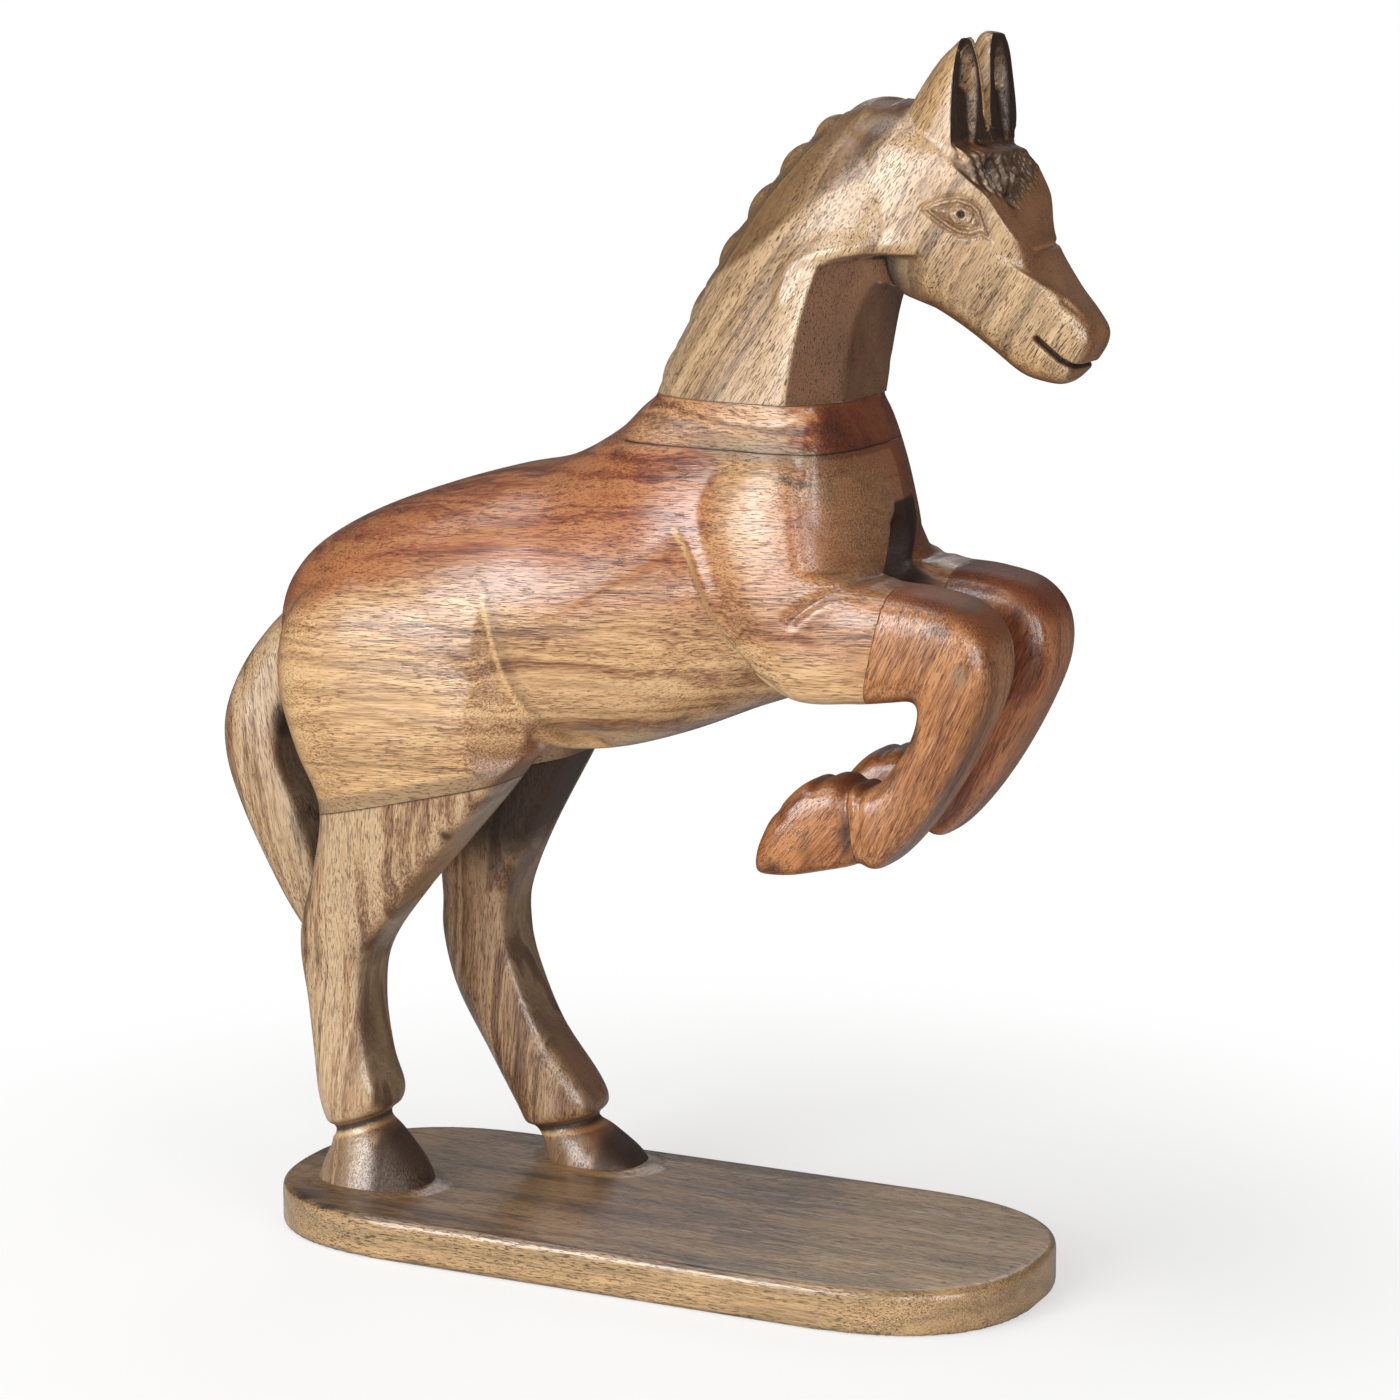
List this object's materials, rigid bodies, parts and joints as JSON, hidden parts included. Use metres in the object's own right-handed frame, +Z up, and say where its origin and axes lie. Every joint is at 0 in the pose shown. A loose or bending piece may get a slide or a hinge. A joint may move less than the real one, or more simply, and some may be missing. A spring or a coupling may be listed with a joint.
{
  "type": "wooden horse statue",
  "caption": "Rearing young horse carved from glued hardwood blocks, standing on its hind hooves on a flat board with rounded ends.",
  "frame": {"origin": "centre of the board's underside", "axes": "+X the way the horse faces, along the board's length; +Y the horse's left; +Z up"},
  "size_m": [0.3326, 0.114, 0.4246],
  "materials": {
    "base_wood": "satin varnish on open-pored brown hardwood",
    "trunk_wood": "satin varnish, red-brown above and tan below",
    "red_wood": "satin varnish on orange-red hardwood",
    "neck_wood": "satin varnish on tan-brown hardwood",
    "leg_wood": "satin varnish on tan hardwood, darker in the hollows",
    "hoof_wood": "satin varnish on brown hardwood with dark streaks",
    "dowel_wood": "bare turned hardwood",
    "screw_steel": "zinc-plated steel"
  },
  "bodies": {
    "root": {"base_board": "base_wood", "base_screw_1": "screw_steel", "base_screw_2": "screw_steel", "base_screw_3": "screw_steel", "base_screw_4": "screw_steel", "trunk": "trunk_wood", "withers_block": "red_wood", "left_shoulder_block": "red_wood", "neck_and_head": "neck_wood", "tail": "leg_wood", "right_hind_leg": "leg_wood", "left_hind_leg": "leg_wood", "right_foreleg": "red_wood", "left_foreleg": "red_wood", "right_fore_hoof": "hoof_wood", "left_fore_hoof": "hoof_wood", "neck_dowel_1": "dowel_wood", "neck_dowel_2": "dowel_wood", "neck_dowel_3": "dowel_wood", "neck_dowel_4": "dowel_wood", "left_shoulder_dowel_1": "dowel_wood", "tail_dowel_1": "dowel_wood", "right_hind_dowel_1": "dowel_wood", "right_hind_dowel_2": "dowel_wood", "left_hind_dowel_1": "dowel_wood", "left_hind_dowel_2": "dowel_wood", "right_foreleg_dowel_1": "dowel_wood", "right_foreleg_dowel_2": "dowel_wood", "left_foreleg_dowel_1": "dowel_wood", "left_foreleg_dowel_2": "dowel_wood", "right_hoof_dowel_1": "dowel_wood", "left_hoof_dowel_1": "dowel_wood"}
  },
  "joints": []
}
